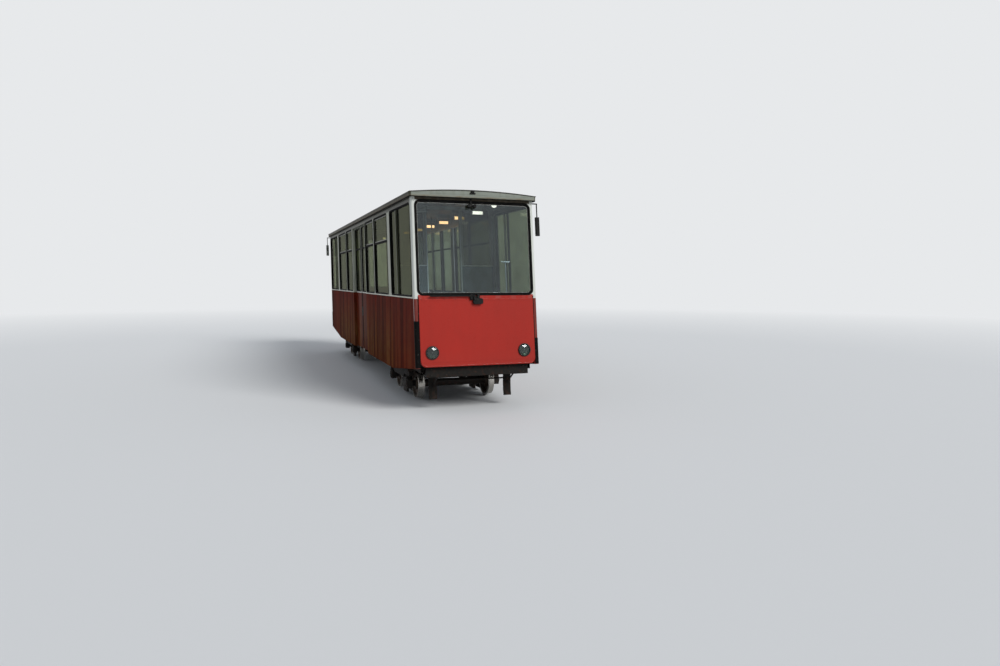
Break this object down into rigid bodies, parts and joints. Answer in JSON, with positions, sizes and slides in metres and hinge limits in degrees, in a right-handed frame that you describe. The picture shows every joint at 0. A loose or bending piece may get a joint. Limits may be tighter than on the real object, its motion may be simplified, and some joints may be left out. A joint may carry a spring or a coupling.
{
  "type": "funicular car with raked body, two bogies and central sliding doors",
  "caption": "Funicular railway car: raked body with stepped level floor, sliding side doors, a cab at each end and two swivelling bogies with flanged wheels.",
  "frame": {"origin": "on the rail tops, midway between the rails and midway between the two bogies", "axes": "+X to the right looking up the track, +Y up the track, +Z square to the rails"},
  "size_m": [2.685, 13.2282, 4.1256],
  "materials": {
    "red_paint": "gloss coach paint, a little chalked",
    "cream_paint": "gloss coach paint, weathered",
    "roof_grey": "matt grey roof coating, dusty",
    "frame_black": "matt black underframe paint, dusty",
    "floor_rubber": "ribbed grey-black floor covering",
    "cast_steel": "rough casting, dark with brake dust",
    "wheel_steel": "rolled steel, treads polished by the rail",
    "glass": "clear safety glass, faint green tint",
    "lamp_glass": "clear pressed glass",
    "chrome_trim": "bright plated metal",
    "aluminium": "satin anodised",
    "black_plastic": "moulded, satin",
    "desk_laminate": "dark teal laminate",
    "wood_trim": "moulded plywood, varnished",
    "warm_lamp": "opal cover, warm white"
  },
  "bodies": {
    "car_body": {"sole_bars": "frame_black", "cross_beams": "frame_black", "floor_decks": "floor_rubber", "side_panels": "red_paint", "window_walls": "cream_paint", "end_frames": "cream_paint", "end_aprons": "red_paint", "roof_band": "cream_paint", "roof_shell": "roof_grey", "windscreens": "glass", "window_panes": "glass", "driver_desks": "desk_laminate", "cab_partitions": "cream_paint", "benches": "wood_trim", "grab_poles": "chrome_trim", "ceiling_lamps": "warm_lamp", "headlamp_bezels": "chrome_trim", "headlamp_lenses": "lamp_glass", "wipers": "black_plastic", "outside_mirrors": "black_plastic", "brake_power_pack": "frame_black", "rope_anchor": "cast_steel", "door_tracks": "aluminium"},
    "door_left_lower": {"door_left_lower": "red_paint", "door_pane_left_lower": "glass"},
    "door_left_upper": {"door_left_upper": "red_paint", "door_pane_left_upper": "glass"},
    "door_right_lower": {"door_right_lower": "red_paint", "door_pane_right_lower": "glass"},
    "door_right_upper": {"door_right_upper": "red_paint", "door_pane_right_upper": "glass"},
    "bogie_lower": {"bogie_frame_lower": "frame_black", "axleboxes_lower": "cast_steel", "rail_brakes_lower": "cast_steel"},
    "bogie_upper": {"bogie_frame_upper": "frame_black", "axleboxes_upper": "cast_steel", "rail_brakes_upper": "cast_steel"},
    "wheelset_1": {"axle_1": "wheel_steel", "wheels_1": "wheel_steel"},
    "wheelset_2": {"axle_2": "wheel_steel", "wheels_2": "wheel_steel"},
    "wheelset_3": {"axle_3": "wheel_steel", "wheels_3": "wheel_steel"},
    "wheelset_4": {"axle_4": "wheel_steel", "wheels_4": "wheel_steel"}
  },
  "joints": [
    {"name": "door_left_lower_slide", "type": "slide", "parent": "car_body", "child": "door_left_lower", "axis": [0, -1, 0], "range_m": [0, 1]},
    {"name": "door_left_upper_slide", "type": "slide", "parent": "car_body", "child": "door_left_upper", "axis": [0, 1, 0], "range_m": [0, 1]},
    {"name": "door_right_lower_slide", "type": "slide", "parent": "car_body", "child": "door_right_lower", "axis": [0, -1, 0], "range_m": [0, 1]},
    {"name": "door_right_upper_slide", "type": "slide", "parent": "car_body", "child": "door_right_upper", "axis": [0, 1, 0], "range_m": [0, 1]},
    {"name": "bogie_lower_swivel", "type": "hinge", "parent": "car_body", "child": "bogie_lower", "pos_m": [0, -3.75, 0.6], "axis": [0, 0, 1], "range_deg": [-4, 4]},
    {"name": "bogie_upper_swivel", "type": "hinge", "parent": "car_body", "child": "bogie_upper", "pos_m": [0, 3.75, 0.6], "axis": [0, 0, 1], "range_deg": [-4, 4]},
    {"name": "wheelset_1_spin", "type": "hinge", "parent": "bogie_lower", "child": "wheelset_1", "pos_m": [0, -4.55, 0.3], "axis": [1, 0, 0], "continuous": true},
    {"name": "wheelset_2_spin", "type": "hinge", "parent": "bogie_lower", "child": "wheelset_2", "pos_m": [0, -2.95, 0.3], "axis": [1, 0, 0], "continuous": true},
    {"name": "wheelset_3_spin", "type": "hinge", "parent": "bogie_upper", "child": "wheelset_3", "pos_m": [0, 2.95, 0.3], "axis": [1, 0, 0], "continuous": true},
    {"name": "wheelset_4_spin", "type": "hinge", "parent": "bogie_upper", "child": "wheelset_4", "pos_m": [0, 4.55, 0.3], "axis": [1, 0, 0], "continuous": true}
  ],
  "couplings": [
    {"joint": "door_left_upper_slide", "follows": "door_left_lower_slide", "ratio": 1},
    {"joint": "door_right_upper_slide", "follows": "door_right_lower_slide", "ratio": 1}
  ]
}
